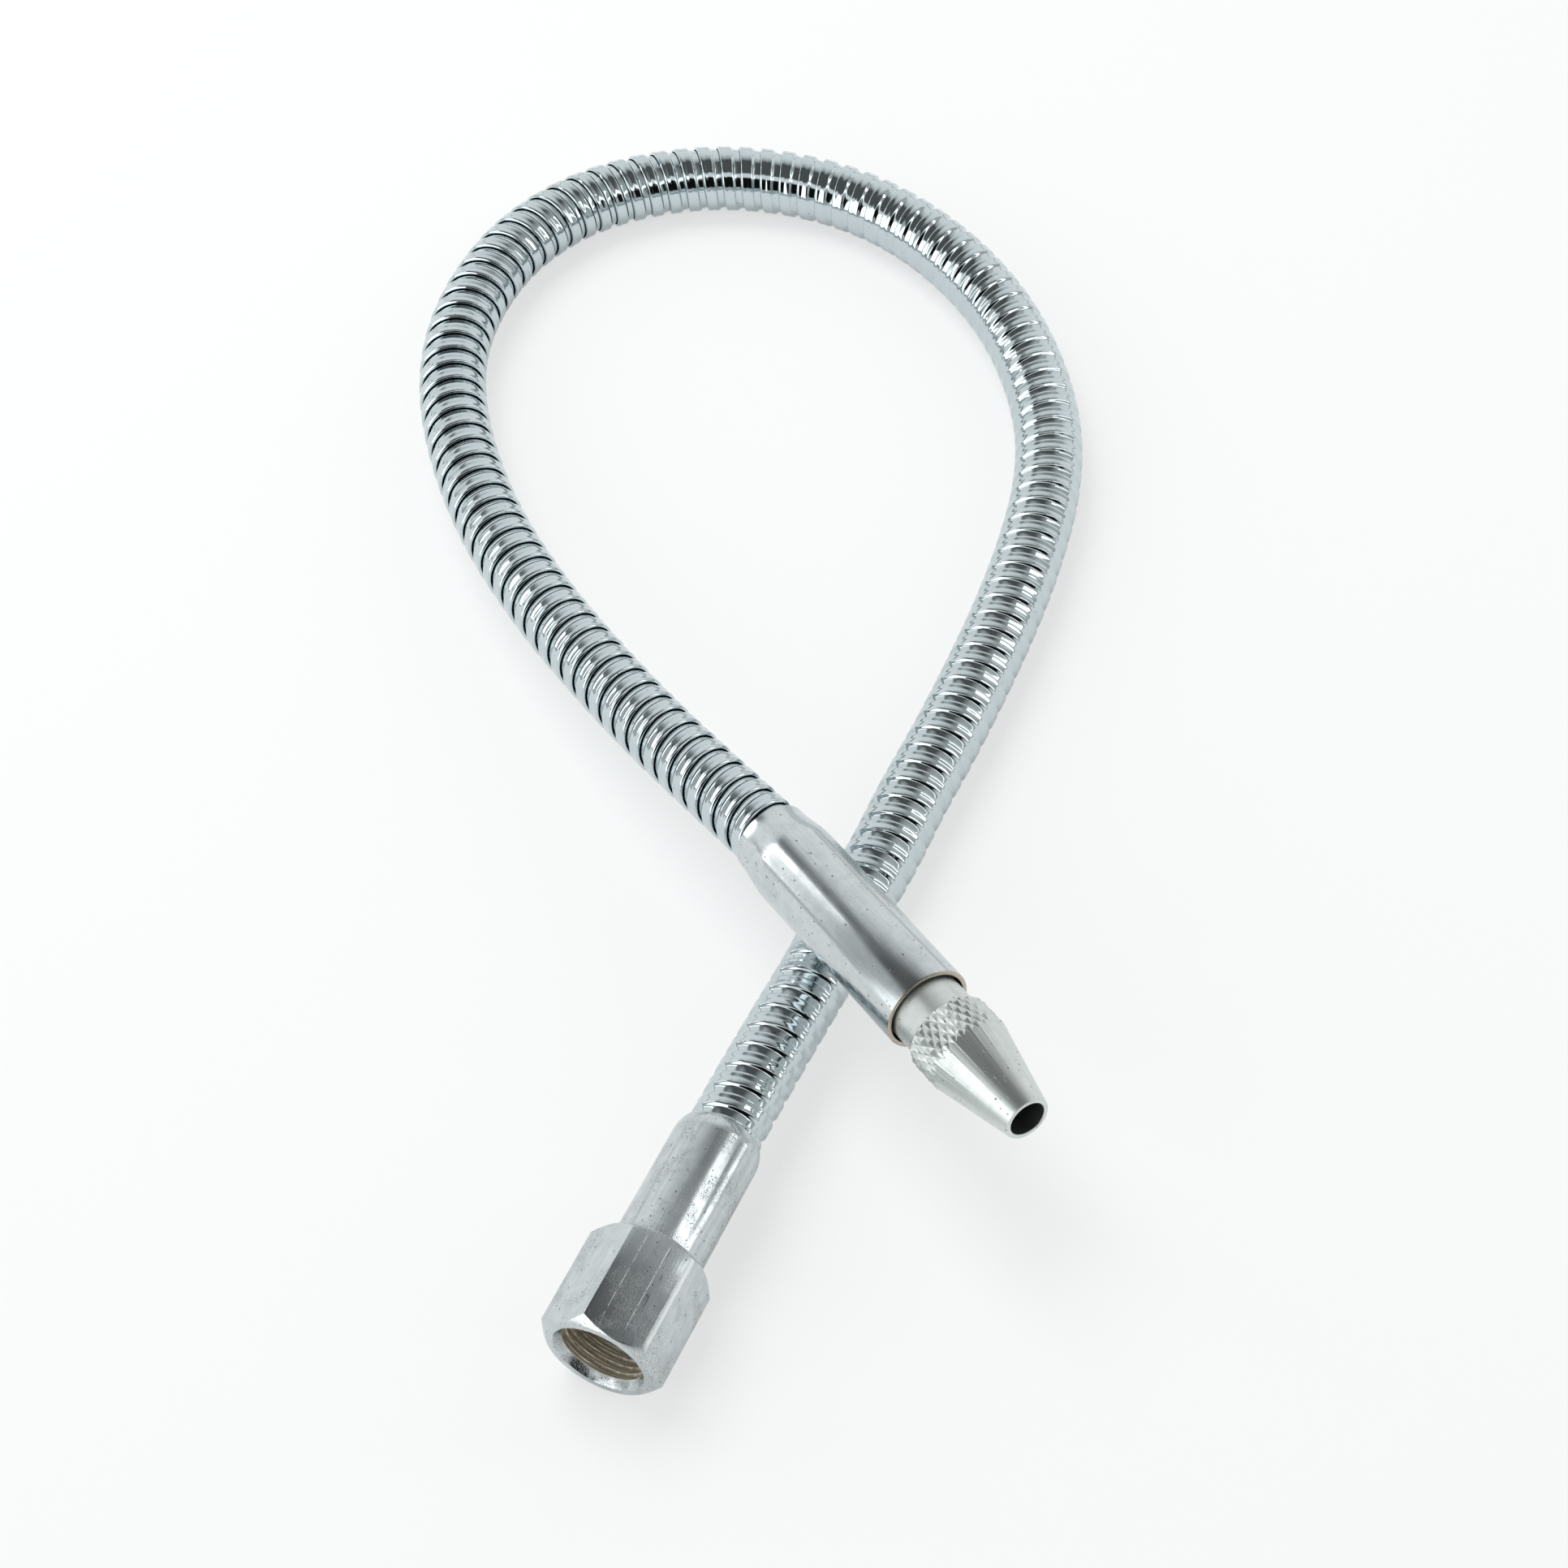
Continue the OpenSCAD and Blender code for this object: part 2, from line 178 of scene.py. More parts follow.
def wind_strip(name, first_turn, turns):
    """Winds the strip straight, keeps its coordinates for the finish and bends it along the route."""
    piece = draw_outline(name, [(x + PITCH * first_turn, 0, r) for x, r in STRIP])
    finish_with(piece, "SCREW", axis="X", angle=tau, screw_offset=PITCH * MM, iterations=turns,
                steps=STRIP_FACETS, render_steps=STRIP_FACETS, use_smooth_shade=True)
    face_out(piece, open_ends=True)
    laid = piece.data.attributes.new("laid", "FLOAT_VECTOR", "POINT")
    for vertex, value in zip(piece.data.vertices, laid.data):
        vertex.co.x = wound_reach(vertex.co.x / PITCH / MM) * MM
        value.vector = vertex.co
    finish_with(piece, "CURVE", object=hose_route, deform_axis="POS_X")
    alone(piece)
    bpy.ops.object.shade_smooth_by_angle(angle=radians(50))
    return piece


def wire(tree, kind, sockets=None, **settings):
    """Adds a shader node, sets it and links or fills its sockets."""
    added = tree.nodes.new("ShaderNode" + kind)
    for setting, value in settings.items():
        setattr(added, setting, value)
    for socket, value in (sockets or {}).items():
        if isinstance(value, bpy.types.NodeSocket):
            tree.links.new(value, added.inputs[socket])
        else:
            added.inputs[socket].default_value = value
    return added


def reckon(tree, operation, first, second=0.0, clamp=False):
    return wire(tree, "Math", {0: first, 1: second}, operation=operation, use_clamp=clamp).outputs[0]


def product(tree, first, *others):
    for other in others:
        first = reckon(tree, "MULTIPLY", first, other)
    return first


def ranged(tree, value, low, high):
    """Stretches a value of 0 to 1 to another range."""
    return wire(tree, "MapRange", {"Value": value, "To Min": low, "To Max": high}).outputs[0]


def between(tree, value, low, high):
    """Rises smoothly from 0 to 1 as a value goes from low to high, or falls where low is the larger."""
    if low > high:
        return reckon(tree, "SUBTRACT", 1.0, between(tree, value, high, low))
    return wire(tree, "MapRange", {"Value": value, "From Min": low, "From Max": high},
                interpolation_type="SMOOTHSTEP").outputs[0]


def stretched(tree, vector, scale):
    return wire(tree, "VectorMath", {0: vector, 1: scale}, operation="MULTIPLY").outputs[0]


def away_from_axis(tree, vector, across):
    """Length of a vector after scaling, with its own axis scaled to nothing."""
    return wire(tree, "VectorMath", {0: stretched(tree, vector, across)}, operation="LENGTH").outputs["Value"]


def noise(tree, vector, scale, detail=3.0):
    return wire(tree, "TexNoise", {"Vector": vector, "Scale": scale, "Detail": detail}).outputs["Fac"]


def blended(tree, share, first, second):
    return wire(tree, "Mix", {0: share, 6: first, 7: second}, data_type="RGBA").outputs[2]


def bumped(tree, height, strength, depth):
    return wire(tree, "Bump", {"Height": height, "Strength": strength, "Distance": depth}).outputs[0]


def feed(tree, shader, **values):
    """Links values to a shader's sockets, an underscore standing for each space."""
    for socket, value in values.items():
        tree.links.new(value, shader.inputs[socket.replace("_", " ")])


def new_finish(name, **constants):
    """A material with its Principled shader, whose plain values are set by socket name."""
    finish = bpy.data.materials.new(name)
    finish.use_nodes = True
    shader = finish.node_tree.nodes["Principled BSDF"]
    for socket, value in constants.items():
        shader.inputs[socket.replace("_", " ")].default_value = value
    return finish, finish.node_tree, shader


# The dark colour marks pits in the plating, and is also painted into the bottom of the gap between turns as
# painted shade.
STRIP_BRIGHT, STRIP_DULL, PIT_AND_GAP_SHADE = (0.60, 0.665, 0.685, 1), (0.53, 0.60, 0.62, 1), (0.05, 0.06, 0.06, 1)
GAP_SHADE_TOP, GAP_SHADE_FULL = 6.09, 6.04
strip_chrome, tree, shader = new_finish("chromed_strip", Metallic=1.0)
laid_at = wire(tree, "Attribute", attribute_name="laid").outputs["Vector"]
laid_at = stretched(tree, laid_at, (1 / MM, 1 / MM, 1 / MM))
height = away_from_axis(tree, laid_at, (0, 1, 1))
polish = noise(tree, stretched(tree, laid_at, (7, 0.25, 0.25)), 1.0, 2)
cloud = noise(tree, laid_at, 0.22, 3)
pit = wire(tree, "TexVoronoi", {"Vector": laid_at, "Scale": 0.8, "Randomness": 1.0})
pit_size = product(tree, wire(tree, "SeparateColor", {0: pit.outputs["Color"]}).outputs[0], 0.16)
pits = between(tree, reckon(tree, "SUBTRACT", pit.outputs["Distance"], pit_size), 0.0, -0.05)
colour = blended(tree, product(tree, cloud, 0.7), STRIP_BRIGHT, STRIP_DULL)
colour = blended(tree, product(tree, pits, 0.6), colour, PIT_AND_GAP_SHADE)
# Painted shade: the strip is painted dark where it lies low in the gap between turns, under the overhang.
colour = blended(tree, between(tree, height, GAP_SHADE_TOP, GAP_SHADE_FULL), colour, PIT_AND_GAP_SHADE)
wave = reckon(tree, "ADD", product(tree, polish, 0.015), noise(tree, laid_at, 0.4, 1))
feed(tree, shader, Base_Color=colour, Roughness=ranged(tree, polish, 0.04, 0.11),
     Normal=bumped(tree, wave, 0.5, 0.000025))

turns_before = [0, 55, 75, 127]
armour = {}
for name, first, last in zip(
        ("armour_inlet_strip", "armour_bend_strip", "armour_outlet_strip"), turns_before, turns_before[1:]):
    armour[name] = wind_strip(name, first, last - first)
    armour[name].data.materials.append(strip_chrome)

# Where each run leaves the sleeve or the run before it.
exits = (route[2] * MM, Vector((-0.037, 0.2575, -0.0044)), Vector((-0.1185, 0.26, -0.0044)))
cad_armour = ("armour_inlet_run", "armour_bend", "armour_outlet_run")


def follow_the_hinge(inlet_piece, bend_piece, outlet_piece):
    """The first run stays with the inlet and the last moves with the outlet; the bend stays where it lies."""
    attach(inlet_piece, "inlet")
    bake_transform(bend_piece)
    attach(outlet_piece, "outlet")


# --- Liner ------------------------------------------------------------------
# The rubber tube inside the armour, which holds the water. Both hose tails
# are pushed into it.
LINER_OUT, LINER_IN, LINER_STEP = 4.9, 3.6, 3
liner_rubber, tree, shader = new_finish("liner_rubber", Roughness=0.62)
speckle = noise(tree, wire(tree, "TexCoord").outputs["Object"], 900)
feed(tree, shader, Base_Color=blended(tree, speckle, (0.03, 0.03, 0.031, 1), (0.07, 0.07, 0.068, 1)),
     Normal=bumped(tree, speckle, 0.3, 0.0001))
liner = []
for name, first, last in zip(
        ("liner_inlet_tube", "liner_bend_tube", "liner_outlet_tube"), turns_before, turns_before[1:]):
    start, end = wound_reach(first), min(wound_reach(last), distance[-1] / MM)
    rings = round((end - start) / LINER_STEP)
    places = [start + (end - start) * i / rings for i in range(rings + 1)]
    outside, inside = [(x, 0, LINER_OUT) for x in places], [(x, 0, LINER_IN) for x in reversed(places)]
    tube = draw_outline(name, outside + inside)
    finish_with(tube, "SCREW", axis="X", angle=tau, steps=24, render_steps=24, use_smooth_shade=True)
    face_out(tube)
    finish_with(tube, "CURVE", object=hose_route, deform_axis="POS_X")
    alone(tube)
    bpy.ops.object.shade_smooth_by_angle(angle=radians(50))
    tube.data.materials.append(liner_rubber)
    liner.append(tube)
follow_the_hinge(*liner)
for tube, node in zip(liner, ("liner_inlet_run", "liner_bend", "liner_outlet_run")):
    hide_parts(node)

for (name, piece), tube, node, first, last, way_out in zip(
        armour.items(), liner, cad_armour, turns_before, turns_before[1:], exits):
    start, end = wound_reach(first) * MM, wound_reach(last) * MM
    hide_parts(node)
follow_the_hinge(*armour.values())
bpy.data.objects.remove(hose_route)

# --- Inlet fitting ----------------------------------------------------------
# Turned and milled from one steel bar and plated: hexagon, female pipe thread
# and the hose sleeve, whose end is crimped over the armour.
HEX_FLATS, HEX_LENGTH, HEX_ROLL = 20, 21, 16
HEX_CORNERS = HEX_FLATS / cos(pi / 6)
HEX_FACE, HEX_RISE = 19.5, 1.51
INLET_LIP, CRIMP_START = 47.5, 44.5
HOSE_BORE, HOSE_SEAT = 13.8, 20
PIPE_PITCH, PIPE_MINOR, PIPE_MAJOR = 1.337, 14.95, 16.66
MOUTH, MOUTH_DEPTH = 16.8, 1.5
THREAD_END, SOCKET_FLOOR, UNDERCUT, TAIL_BORE = 12, 15, 17, 6.9
inlet_place = Matrix.Rotation(radians(-90), 4, "X")


def turn_on_lathe(name, corners, steps=96):
    """Turns a closed outline of radii and places along the axis about Z."""
    piece = draw_outline(name, [(r, 0, along) for r, along in corners])
    finish_with(piece, "SCREW", axis="Z", angle=tau, steps=steps, render_steps=steps)
    face_out(piece)
    return piece


def combine(piece, tool, operation):
    """Cuts, joins or keeps the overlap of two solids, and takes the second away."""
    finish_with(piece, "BOOLEAN", object=tool, operation=operation, solver="EXACT")
    bpy.data.objects.remove(tool)


THREAD_FLANK = 0.5206  # tangent of half the 55 degree angle of a pipe thread


def cut_thread(piece, pitch, crest, root, start, end):
    """Cuts a right-handed V groove into a bore, along the Z axis."""
    flank = (root - crest) * THREAD_FLANK
    over, shoulder, half = crest - 0.25, root - 0.04, pitch / 2 - 0.11
    groove = draw_outline("groove", [
        (over, 0, start - half), (crest, 0, start - half), (shoulder, 0, start - half + flank),
        (root, 0, start), (shoulder, 0, start + half - flank), (crest, 0, start + half),
        (over, 0, start + half)])
    turns = round((end - start) / pitch)
    finish_with(groove, "SCREW", axis="Z", angle=tau, screw_offset=pitch * MM, iterations=turns,
                steps=72, render_steps=72)
    face_out(groove, open_ends=True)
    combine(piece, groove, "DIFFERENCE")


def set_in_place(piece, place, angle=30):
    """Moves a finished piece to its place in the mesh itself and smooths its round faces."""
    alone(piece)
    piece.matrix_world = place
    bpy.ops.object.transform_apply(location=True, rotation=True, scale=True)
    bpy.ops.object.shade_smooth_by_angle(angle=radians(angle))


bpy.ops.object.select_all(action="DESELECT")
bpy.ops.mesh.primitive_cylinder_add(
    vertices=6, radius=HEX_CORNERS / 2 * MM, depth=HEX_LENGTH * MM,
    location=(0, 0, HEX_LENGTH / 2 * MM), rotation=(0, 0, radians(HEX_ROLL - 30)))
inlet = bpy.context.object
inlet.name = inlet.data.name = "hexagon_and_sleeve"
bpy.ops.object.transform_apply(location=True, rotation=True, scale=True)
worn_edge = Vector((cos(radians(HEX_ROLL - 60)), sin(radians(HEX_ROLL - 60))))
for width, is_worn in ((0.35, True), (0.12, False)):
    bpy.ops.object.mode_set(mode="EDIT")
    bpy.ops.mesh.select_all(action="DESELECT")
    bpy.ops.mesh.select_mode(type="EDGE")
    bpy.ops.object.mode_set(mode="OBJECT")
    for edge in inlet.data.edges:
        low, high = (inlet.data.vertices[i].co for i in edge.vertices)
        upright = (high - low).xy.length < 1e-6
        at_corner = low.xy.length > (HEX_CORNERS / 2 - 0.01) * MM
        at_worn_edge = low.xy.normalized().dot(worn_edge) > 0.99
        edge.select = upright and at_corner and at_worn_edge == is_worn
    bpy.ops.object.mode_set(mode="EDIT")
    bpy.ops.mesh.bevel(offset=width * MM, segments=4, affect="EDGES")
    bpy.ops.object.mode_set(mode="OBJECT")
combine(inlet, turn_on_lathe("chamfers", [
    (2, 0), (HEX_FACE / 2, 0), (HEX_CORNERS / 2 + 0.2, HEX_RISE + 0.1),
    (HEX_CORNERS / 2 + 0.2, HEX_LENGTH - HEX_RISE - 0.1), (HEX_FACE / 2, HEX_LENGTH), (2, HEX_LENGTH),
]), "INTERSECT")
crimp = [(8.05 - 0.8 * (i / 8) ** 2, CRIMP_START + (INLET_LIP - CRIMP_START) * i / 8) for i in range(9)]
combine(inlet, turn_on_lathe("hose_sleeve", [
    (2, 20), (8.5, 20), (8.5, 21.45), (8.42, 21.6), (8.25, 21.7), (8.1, 21.9), *crimp, (2, INLET_LIP),
]), "UNION")
combine(inlet, turn_on_lathe("socket_and_bore", [
    (1, -1), (MOUTH / 2 + 0.1, -1), (MOUTH / 2 + 0.1, 0), (MOUTH / 2, 0.12),
    (PIPE_MINOR / 2, MOUTH_DEPTH), (PIPE_MINOR / 2, THREAD_END), (UNDERCUT / 2, THREAD_END),
    (UNDERCUT / 2, SOCKET_FLOOR), (TAIL_BORE / 2, SOCKET_FLOOR), (TAIL_BORE / 2, HOSE_SEAT),
    (HOSE_BORE / 2, HOSE_SEAT), (HOSE_BORE / 2, INLET_LIP + 1), (1, INLET_LIP + 1)]), "DIFFERENCE")
finish_with(inlet, "BEVEL", width=0.1 * MM, segments=2, limit_method="ANGLE", angle_limit=radians(22),
            harden_normals=False)
cut_thread(inlet, PIPE_PITCH, PIPE_MINOR / 2, PIPE_MAJOR / 2, MOUTH_DEPTH + 0.5, THREAD_END + 0.6)
set_in_place(inlet, inlet_place)
inlet.data.validate()  # drops the invalid faces that the cuts left

worn = bpy.data.node_groups.new("worn_plating", "ShaderNodeTree")
for socket, kind in (
        ("Place", "Vector"), ("Grain Place", "Vector"), ("Bright", "Color"), ("Dull", "Color"),
        ("Stain", "Color"), ("Stains", "Float"), ("Grain", "Float")):
    worn.interface.new_socket(socket, in_out="INPUT", socket_type="NodeSocket" + kind)
for socket, kind in (("Color", "Color"), ("Roughness", "Float"), ("Height", "Float")):
    worn.interface.new_socket(socket, in_out="OUTPUT", socket_type="NodeSocket" + kind)
given, result = worn.nodes.new("NodeGroupInput").outputs, worn.nodes.new("NodeGroupOutput").inputs
cloud = noise(worn, given["Place"], 0.45, 5)
grain = noise(worn, given["Grain Place"], 1.0, 4)
fine = noise(worn, given["Place"], 6.0, 3)
patches = between(worn, noise(worn, given["Place"], 0.16, 3), 0.45, 0.62)
pit = wire(worn, "TexVoronoi", {"Vector": stretched(worn, given["Place"], (1, 1, 0.7)), "Scale": 1.1})
pit_size = product(worn, wire(worn, "SeparateColor", {0: pit.outputs["Color"]}).outputs[0], 0.2)
pits = between(worn, reckon(worn, "SUBTRACT", pit.outputs["Distance"], pit_size), 0.02, -0.06)
scratch = between(worn, noise(worn, stretched(worn, given["Place"], (3.2, 3.2, 0.06)), 1.0, 1), 0.74, 0.79)
grained = product(worn, grain, given["Grain"])
mottle = reckon(worn, "ADD", product(worn, cloud, 0.5), grained)
colour = blended(worn, between(worn, mottle, 0.25, 0.75), given["Bright"], given["Dull"])
stained = product(worn, between(worn, fine, 0.52, 0.68), patches)
stained = reckon(worn, "MULTIPLY", stained, given["Stains"], clamp=True)
stained = reckon(worn, "MAXIMUM", stained, product(worn, pits, 0.75))
worn.links.new(blended(worn, stained, colour, given["Stain"]), result["Color"])
marked = product(worn, reckon(worn, "MAXIMUM", scratch, stained), 0.3)
worn.links.new(reckon(worn, "ADD", ranged(worn, mottle, 0.10, 0.25), marked), result["Roughness"])
relief = reckon(worn, "SUBTRACT", grained, product(worn, stained, 1.2))
relief = reckon(worn, "ADD", relief, product(worn, fine, 0.2))
worn.links.new(reckon(worn, "SUBTRACT", relief, product(worn, scratch, 0.7)), result["Height"])


def own_place(tree, place):
    """Coordinates in millimetres on a piece's own axes, with its own axis as Z."""
    return wire(tree, "Mapping", {
        "Vector": wire(tree, "TexCoord").outputs["Object"], "Location": place.to_translation(),
        "Rotation": place.to_euler(), "Scale": (MM, MM, MM)}, vector_type="TEXTURE").outputs[0]


def plating(tree, shader, place, grain_scale, bump_height, **looks):
    """Fills a material with worn plating. Gives its node and the place, radius and length on the piece."""
    here = own_place(tree, place)
    wear = tree.nodes.new("ShaderNodeGroup")
    wear.node_tree = worn
    feed(tree, wear, Place=here, Grain_Place=stretched(tree, here, grain_scale))
    for socket, value in looks.items():
        wear.inputs[socket].default_value = value
    feed(tree, shader, Base_Color=wear.outputs["Color"], Roughness=wear.outputs["Roughness"],
         Normal=bumped(tree, wear.outputs["Height"], 0.6, bump_height))
    along = wire(tree, "SeparateXYZ", {0: here}).outputs["Z"]
    return wear, here, away_from_axis(tree, here, (1, 1, 0)), along


BROWN_STAIN = (0.13, 0.085, 0.05, 1)
plated_steel, tree, shader = new_finish("plated_steel", Metallic=1.0)
wear, here, radius, along = plating(
    tree, shader, inlet_place, (2.4, 2.4, 0.09), 0.00003, Bright=(0.66, 0.70, 0.715, 1),
    Dull=(0.50, 0.54, 0.55, 1), Stain=BROWN_STAIN, Stains=0.85, Grain=0.5)
in_bore = product(tree, between(tree, radius, 8.42, 8.3), between(tree, along, 1.0, MOUTH_DEPTH + 0.2))
in_bore = product(tree, in_bore, between(tree, along, SOCKET_FLOOR + 0.5, SOCKET_FLOOR - 0.5))
# Inside the thread and socket the colour is a warm oil tint, painted much lighter than the plating as painted
# light where the lamps don't reach into the bore.
oil_tint_and_painted_light = blended(tree, noise(tree, here, 1.4), (0.66, 0.60, 0.50, 1), (0.92, 0.88, 0.80, 1))


def measured(tree, point, direction):
    """How far a point lies along a direction."""
    return wire(tree, "VectorMath", {0: point, 1: direction}, operation="DOT_PRODUCT").outputs["Value"]


def near(tree, value, middle, fades, reaches):
    """1 where a value is within a distance of its middle, fading to 0."""
    off = reckon(tree, "ABSOLUTE", reckon(tree, "SUBTRACT", value, middle))
    return between(tree, off, fades, reaches)


top_face, across = radians(HEX_ROLL - 90), radians(HEX_ROLL)
to_top = measured(tree, here, (cos(top_face), sin(top_face), 0))
on_top = between(tree, to_top, HEX_FLATS / 2 - 0.2, HEX_FLATS / 2 - 0.08)
waver = product(tree, noise(tree, stretched(tree, here, (0, 0, 0.5)), 1.0, 2), 0.18)
side_step = reckon(tree, "ADD", measured(tree, here, (cos(across), sin(across), 0)), waver)
long_scratches = reckon(
    tree, "MAXIMUM", near(tree, side_step, -2.8, 0.1, 0.03), near(tree, side_step, 1.45, 0.11, 0.04))
broken = between(tree, noise(tree, stretched(tree, here, (1.5, 1.5, 0.9)), 1.0, 3), 0.38, 0.5)
long_scratches = product(tree, long_scratches, broken, near(tree, along, 11, 9, 7.5))
specks = between(tree, noise(tree, here, 5.0, 1), 0.68, 0.76)
marks_and_painted_highlight = product(tree, on_top, reckon(tree, "MAXIMUM", long_scratches, product(tree, specks, 0.45)))
# A ragged bright line along the bevelled corner beside the top face: wear on the edge, and a painted
# highlight where the bevel catches the softbox.
to_edge = measured(tree, here, (cos(top_face + pi / 6), sin(top_face + pi / 6), 0))
ragged = product(tree, noise(tree, stretched(tree, here, (1, 1, 0.6)), 1.6, 3), 0.22)
edge_wear_and_highlight = between(tree, reckon(tree, "ADD", to_edge, ragged), 11.32, 11.40)
marks_and_painted_highlight = reckon(tree, "MAXIMUM", marks_and_painted_highlight, product(tree, edge_wear_and_highlight, near(tree, along, HEX_LENGTH / 2, 10, 8)))
streaks = between(tree, noise(tree, stretched(tree, here, (4.5, 4.5, 0.25)), 1.0, 2), 0.6, 0.68)
streaks = product(tree, streaks, near(tree, side_step, 2.2, 0.9, 0.4), on_top)
# Scratches, specks and the edge line are painted pale: real marks, and on the edge a painted highlight.
steel = blended(tree, marks_and_painted_highlight, wear.outputs["Color"], (0.90, 0.92, 0.925, 1))
steel = blended(tree, streaks, steel, (0.16, 0.165, 0.16, 1))
rough = reckon(tree, "ADD", wear.outputs["Roughness"], product(tree, marks_and_painted_highlight, 0.35))
feed(tree, shader, Base_Color=blended(tree, in_bore, steel, oil_tint_and_painted_light),
     Roughness=reckon(tree, "ADD", rough, product(tree, in_bore, 0.2)))
inlet.data.materials.clear()
inlet.data.materials.append(plated_steel)
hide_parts("inlet_fitting")
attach(inlet, "inlet")

# --- Washer and inlet tail --------------------------------------------------
# A rubber ring behind the thread, on the flange of a turned brass tail that is
# pushed into the liner.
black_rubber, tree, shader = new_finish("black_rubber", Roughness=0.7)
speckle = noise(tree, wire(tree, "TexCoord").outputs["Object"], 1500)
feed(tree, shader, Base_Color=blended(tree, speckle, (0.035, 0.035, 0.036, 1), (0.085, 0.083, 0.08, 1)),
     Normal=bumped(tree, speckle, 0.3, 0.0001))


def turned_brass(name, place):
    """Brass with fine turning marks round the piece's own axis."""
    brass, tree, shader = new_finish(name, Metallic=1.0)
    marks = noise(tree, stretched(tree, own_place(tree, place), (0.2, 0.2, 9)), 1.0, 2)
    feed(tree, shader, Base_Color=blended(tree, marks, (0.58, 0.42, 0.19, 1), (0.74, 0.57, 0.29, 1)),
         Roughness=ranged(tree, marks, 0.2, 0.42), Normal=bumped(tree, marks, 0.5, 0.00004))
    return brass


def refinish(node, finish):
    """Gives a solid that keeps its own mesh a better material."""
    solid = bpy.data.objects[node]
    for slot in solid.material_slots:
        slot.material = finish


refinish("inlet_washer", black_rubber)
refinish("inlet_tail", turned_brass("inlet_brass", inlet_place))

# --- Outlet sleeve ----------------------------------------------------------
# Formed from thin tube, crimped on the hose at one end and sawn off raw at
# the other, where the nozzle's neck goes in.
SLEEVE_R, SLEEVE_WALL, SLEEVE_LENGTH, CRIMP_LENGTH = 8.2, 0.85, 50.5, 9
outlet_place = (Matrix.Translation(OUTLET_AT * MM) @ Matrix.Rotation(OUTLET_TURN, 4, "Z")
                @ Matrix.Rotation(pi / 2 - OUTLET_CLIMB, 4, "Y"))
HOSE_END_R, HOSE_END_BORE, SWELL_STEPS, FINE = 7.25, 6.9, 14, 128
SLEEVE_BORE = SLEEVE_R - SLEEVE_WALL
swell = [(CRIMP_LENGTH * i / SWELL_STEPS, (1 - cos(pi * i / SWELL_STEPS)) / 2)
         for i in range(SWELL_STEPS + 1)]
sleeve = turn_on_lathe("outlet_tube", [
    *[(HOSE_END_R + (SLEEVE_R - HOSE_END_R) * share, along) for along, share in swell],
    (SLEEVE_R, 30), (SLEEVE_R, SLEEVE_LENGTH - 0.25), (SLEEVE_R - 0.06, SLEEVE_LENGTH - 0.08),
    (SLEEVE_R - 0.2, SLEEVE_LENGTH), (SLEEVE_R - 0.65, SLEEVE_LENGTH), (SLEEVE_R - 0.8, SLEEVE_LENGTH - 0.08),
    (SLEEVE_BORE, SLEEVE_LENGTH - 0.25), (SLEEVE_BORE, 30),
    *[(HOSE_END_BORE + (SLEEVE_BORE - HOSE_END_BORE) * share, along) for along, share in reversed(swell)],
], steps=FINE)
set_in_place(sleeve, outlet_place, 40)
plated_tube, tree, shader = new_finish("plated_tube", Metallic=1.0)
wear, here, radius, along = plating(
    tree, shader, outlet_place, (2.6, 2.6, 0.07), 0.000025, Bright=(0.65, 0.69, 0.705, 1),
    Dull=(0.53, 0.57, 0.58, 1), Stain=BROWN_STAIN, Stains=0.25, Grain=0.45)
raw_edge = blended(tree, noise(tree, here, 2.5), (0.66, 0.63, 0.56, 1), (0.36, 0.26, 0.18, 1))
on_rim = between(tree, along, SLEEVE_LENGTH - 0.24, SLEEVE_LENGTH - 0.14)
feed(tree, shader, Base_Color=blended(tree, on_rim, wear.outputs["Color"], raw_edge))
sleeve.data.materials.append(plated_tube)
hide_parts("outlet_sleeve")
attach(sleeve, "outlet")

# --- Outlet body and seal ---------------------------------------------------
# A turned brass body inside the sleeve holds the nozzle's thread and carries
# the hose tail. A rubber ring on the nozzle's stem seals it.
refinish("outlet_body", turned_brass("outlet_brass", outlet_place))
refinish("nozzle_seal", black_rubber)

# --- Nozzle -----------------------------------------------------------------
# Turned from bar: a stem with its seal groove, a smooth neck, a diamond knurl
# for the fingers and a cone drilled through. The stem's thread stays hidden.
STEM_R, STEM_BORE, STEM_START, NECK_START = 5, 2.7, 34, 48
NECK_R, NECK_END = 6.9, 56.7
KNURL_R, KNURL_ROOT, KNURL_END, KNURLS = 8.0, 7.62, 63.7, 28
CONE_R, TIP_R, TIP_AT, JET_R = 7.75, 4.2, 80.3, 3.35
nozzle = turn_on_lathe("jet_nozzle", [
    (STEM_BORE, STEM_START), (STEM_R - 0.5, STEM_START), (STEM_R, STEM_START + 0.5), (STEM_R, 36),
    (3.9, 36), (3.9, 37.55), (STEM_R, 37.55), (STEM_R, NECK_START),
    (NECK_R - 0.3, NECK_START), (NECK_R, NECK_START + 0.3),
    (NECK_R, NECK_END - 0.1), (NECK_R + 0.1, NECK_END), (KNURL_R - 0.5, NECK_END), (KNURL_R, NECK_END + 0.5),
    (KNURL_R, KNURL_END - 0.7), (KNURL_R - 0.06, KNURL_END - 0.35), (CONE_R, KNURL_END + 0.1),
    (TIP_R + 0.07, TIP_AT - 0.3), (TIP_R - 0.03, TIP_AT - 0.07), (TIP_R - 0.15, TIP_AT),
    (JET_R + 0.12, TIP_AT), (JET_R, TIP_AT - 0.12), (JET_R, NECK_START), (STEM_BORE, NECK_START)], steps=FINE)

